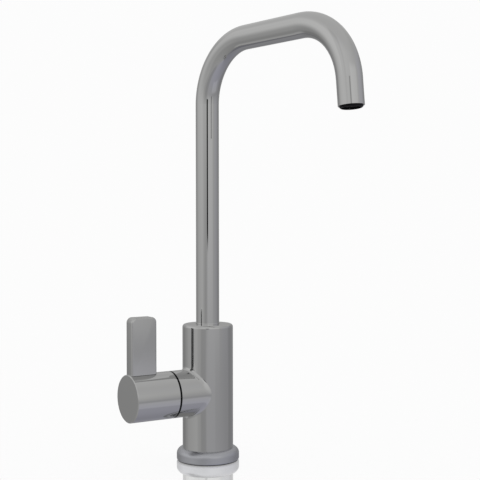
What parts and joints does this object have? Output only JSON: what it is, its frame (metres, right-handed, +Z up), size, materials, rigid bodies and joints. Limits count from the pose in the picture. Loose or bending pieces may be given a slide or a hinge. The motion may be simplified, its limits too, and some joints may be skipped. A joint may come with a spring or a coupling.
{
  "type": "filtered water dispenser",
  "caption": "Slim deck-mounted drinking-water tap: upright body on a round flange, tall swivel spout with two bends, side hub with an upright lever.",
  "frame": {"origin": "axis of the tap body at the deck plane, where the flange's seal rests", "axes": "+Z up along the body's axis, -X along the handle's axis away from the body, -Y toward the user"},
  "size_m": [0.0874, 0.1654, 0.2942],
  "materials": {
    "brushed_metal": "fine satin brushing",
    "valve_brass": "machined",
    "screw_steel": "machined stainless steel",
    "black_rubber": "moulded",
    "black_plastic": "moulded",
    "grey_plastic": "moulded",
    "pale_plastic": "moulded acetal",
    "white_ceramic": "lapped and polished"
  },
  "bodies": {
    "body": {"tap_body": "brushed_metal", "base_flange": "brushed_metal", "base_gasket": "black_rubber", "valve_housing": "valve_brass", "valve_seat_seal": "black_rubber", "fixed_disc": "white_ceramic", "housing_o_ring": "black_rubber", "hub_slip_ring": "black_plastic", "upper_bush": "pale_plastic", "thrust_washer": "pale_plastic", "spout_set_screw": "screw_steel"},
    "spout": {"spout_tube": "brushed_metal", "spout_stem": "valve_brass", "glide_ring": "pale_plastic", "spout_o_rings": "black_rubber", "nozzle_housing": "black_plastic", "flow_straightener": "grey_plastic", "nozzle_gasket": "black_rubber"},
    "handle": {"handle_hub": "brushed_metal", "handle_paddle": "brushed_metal", "paddle_stud": "screw_steel", "hub_grub_screw": "screw_steel", "spline_insert": "valve_brass", "valve_spindle": "valve_brass", "rotating_disc": "white_ceramic", "stop_washer": "valve_brass", "spindle_circlip": "screw_steel", "spindle_o_rings": "black_rubber"}
  },
  "joints": [
    {"name": "spout_swivel", "type": "hinge", "parent": "body", "child": "spout", "pos_m": [0, 0, 0.1], "axis": [0, 0, 1], "continuous": true},
    {"name": "handle_turn", "type": "hinge", "parent": "body", "child": "handle", "pos_m": [-0.045, 0, 0.0476], "axis": [1, 0, 0], "range_deg": [0, 90]}
  ]
}
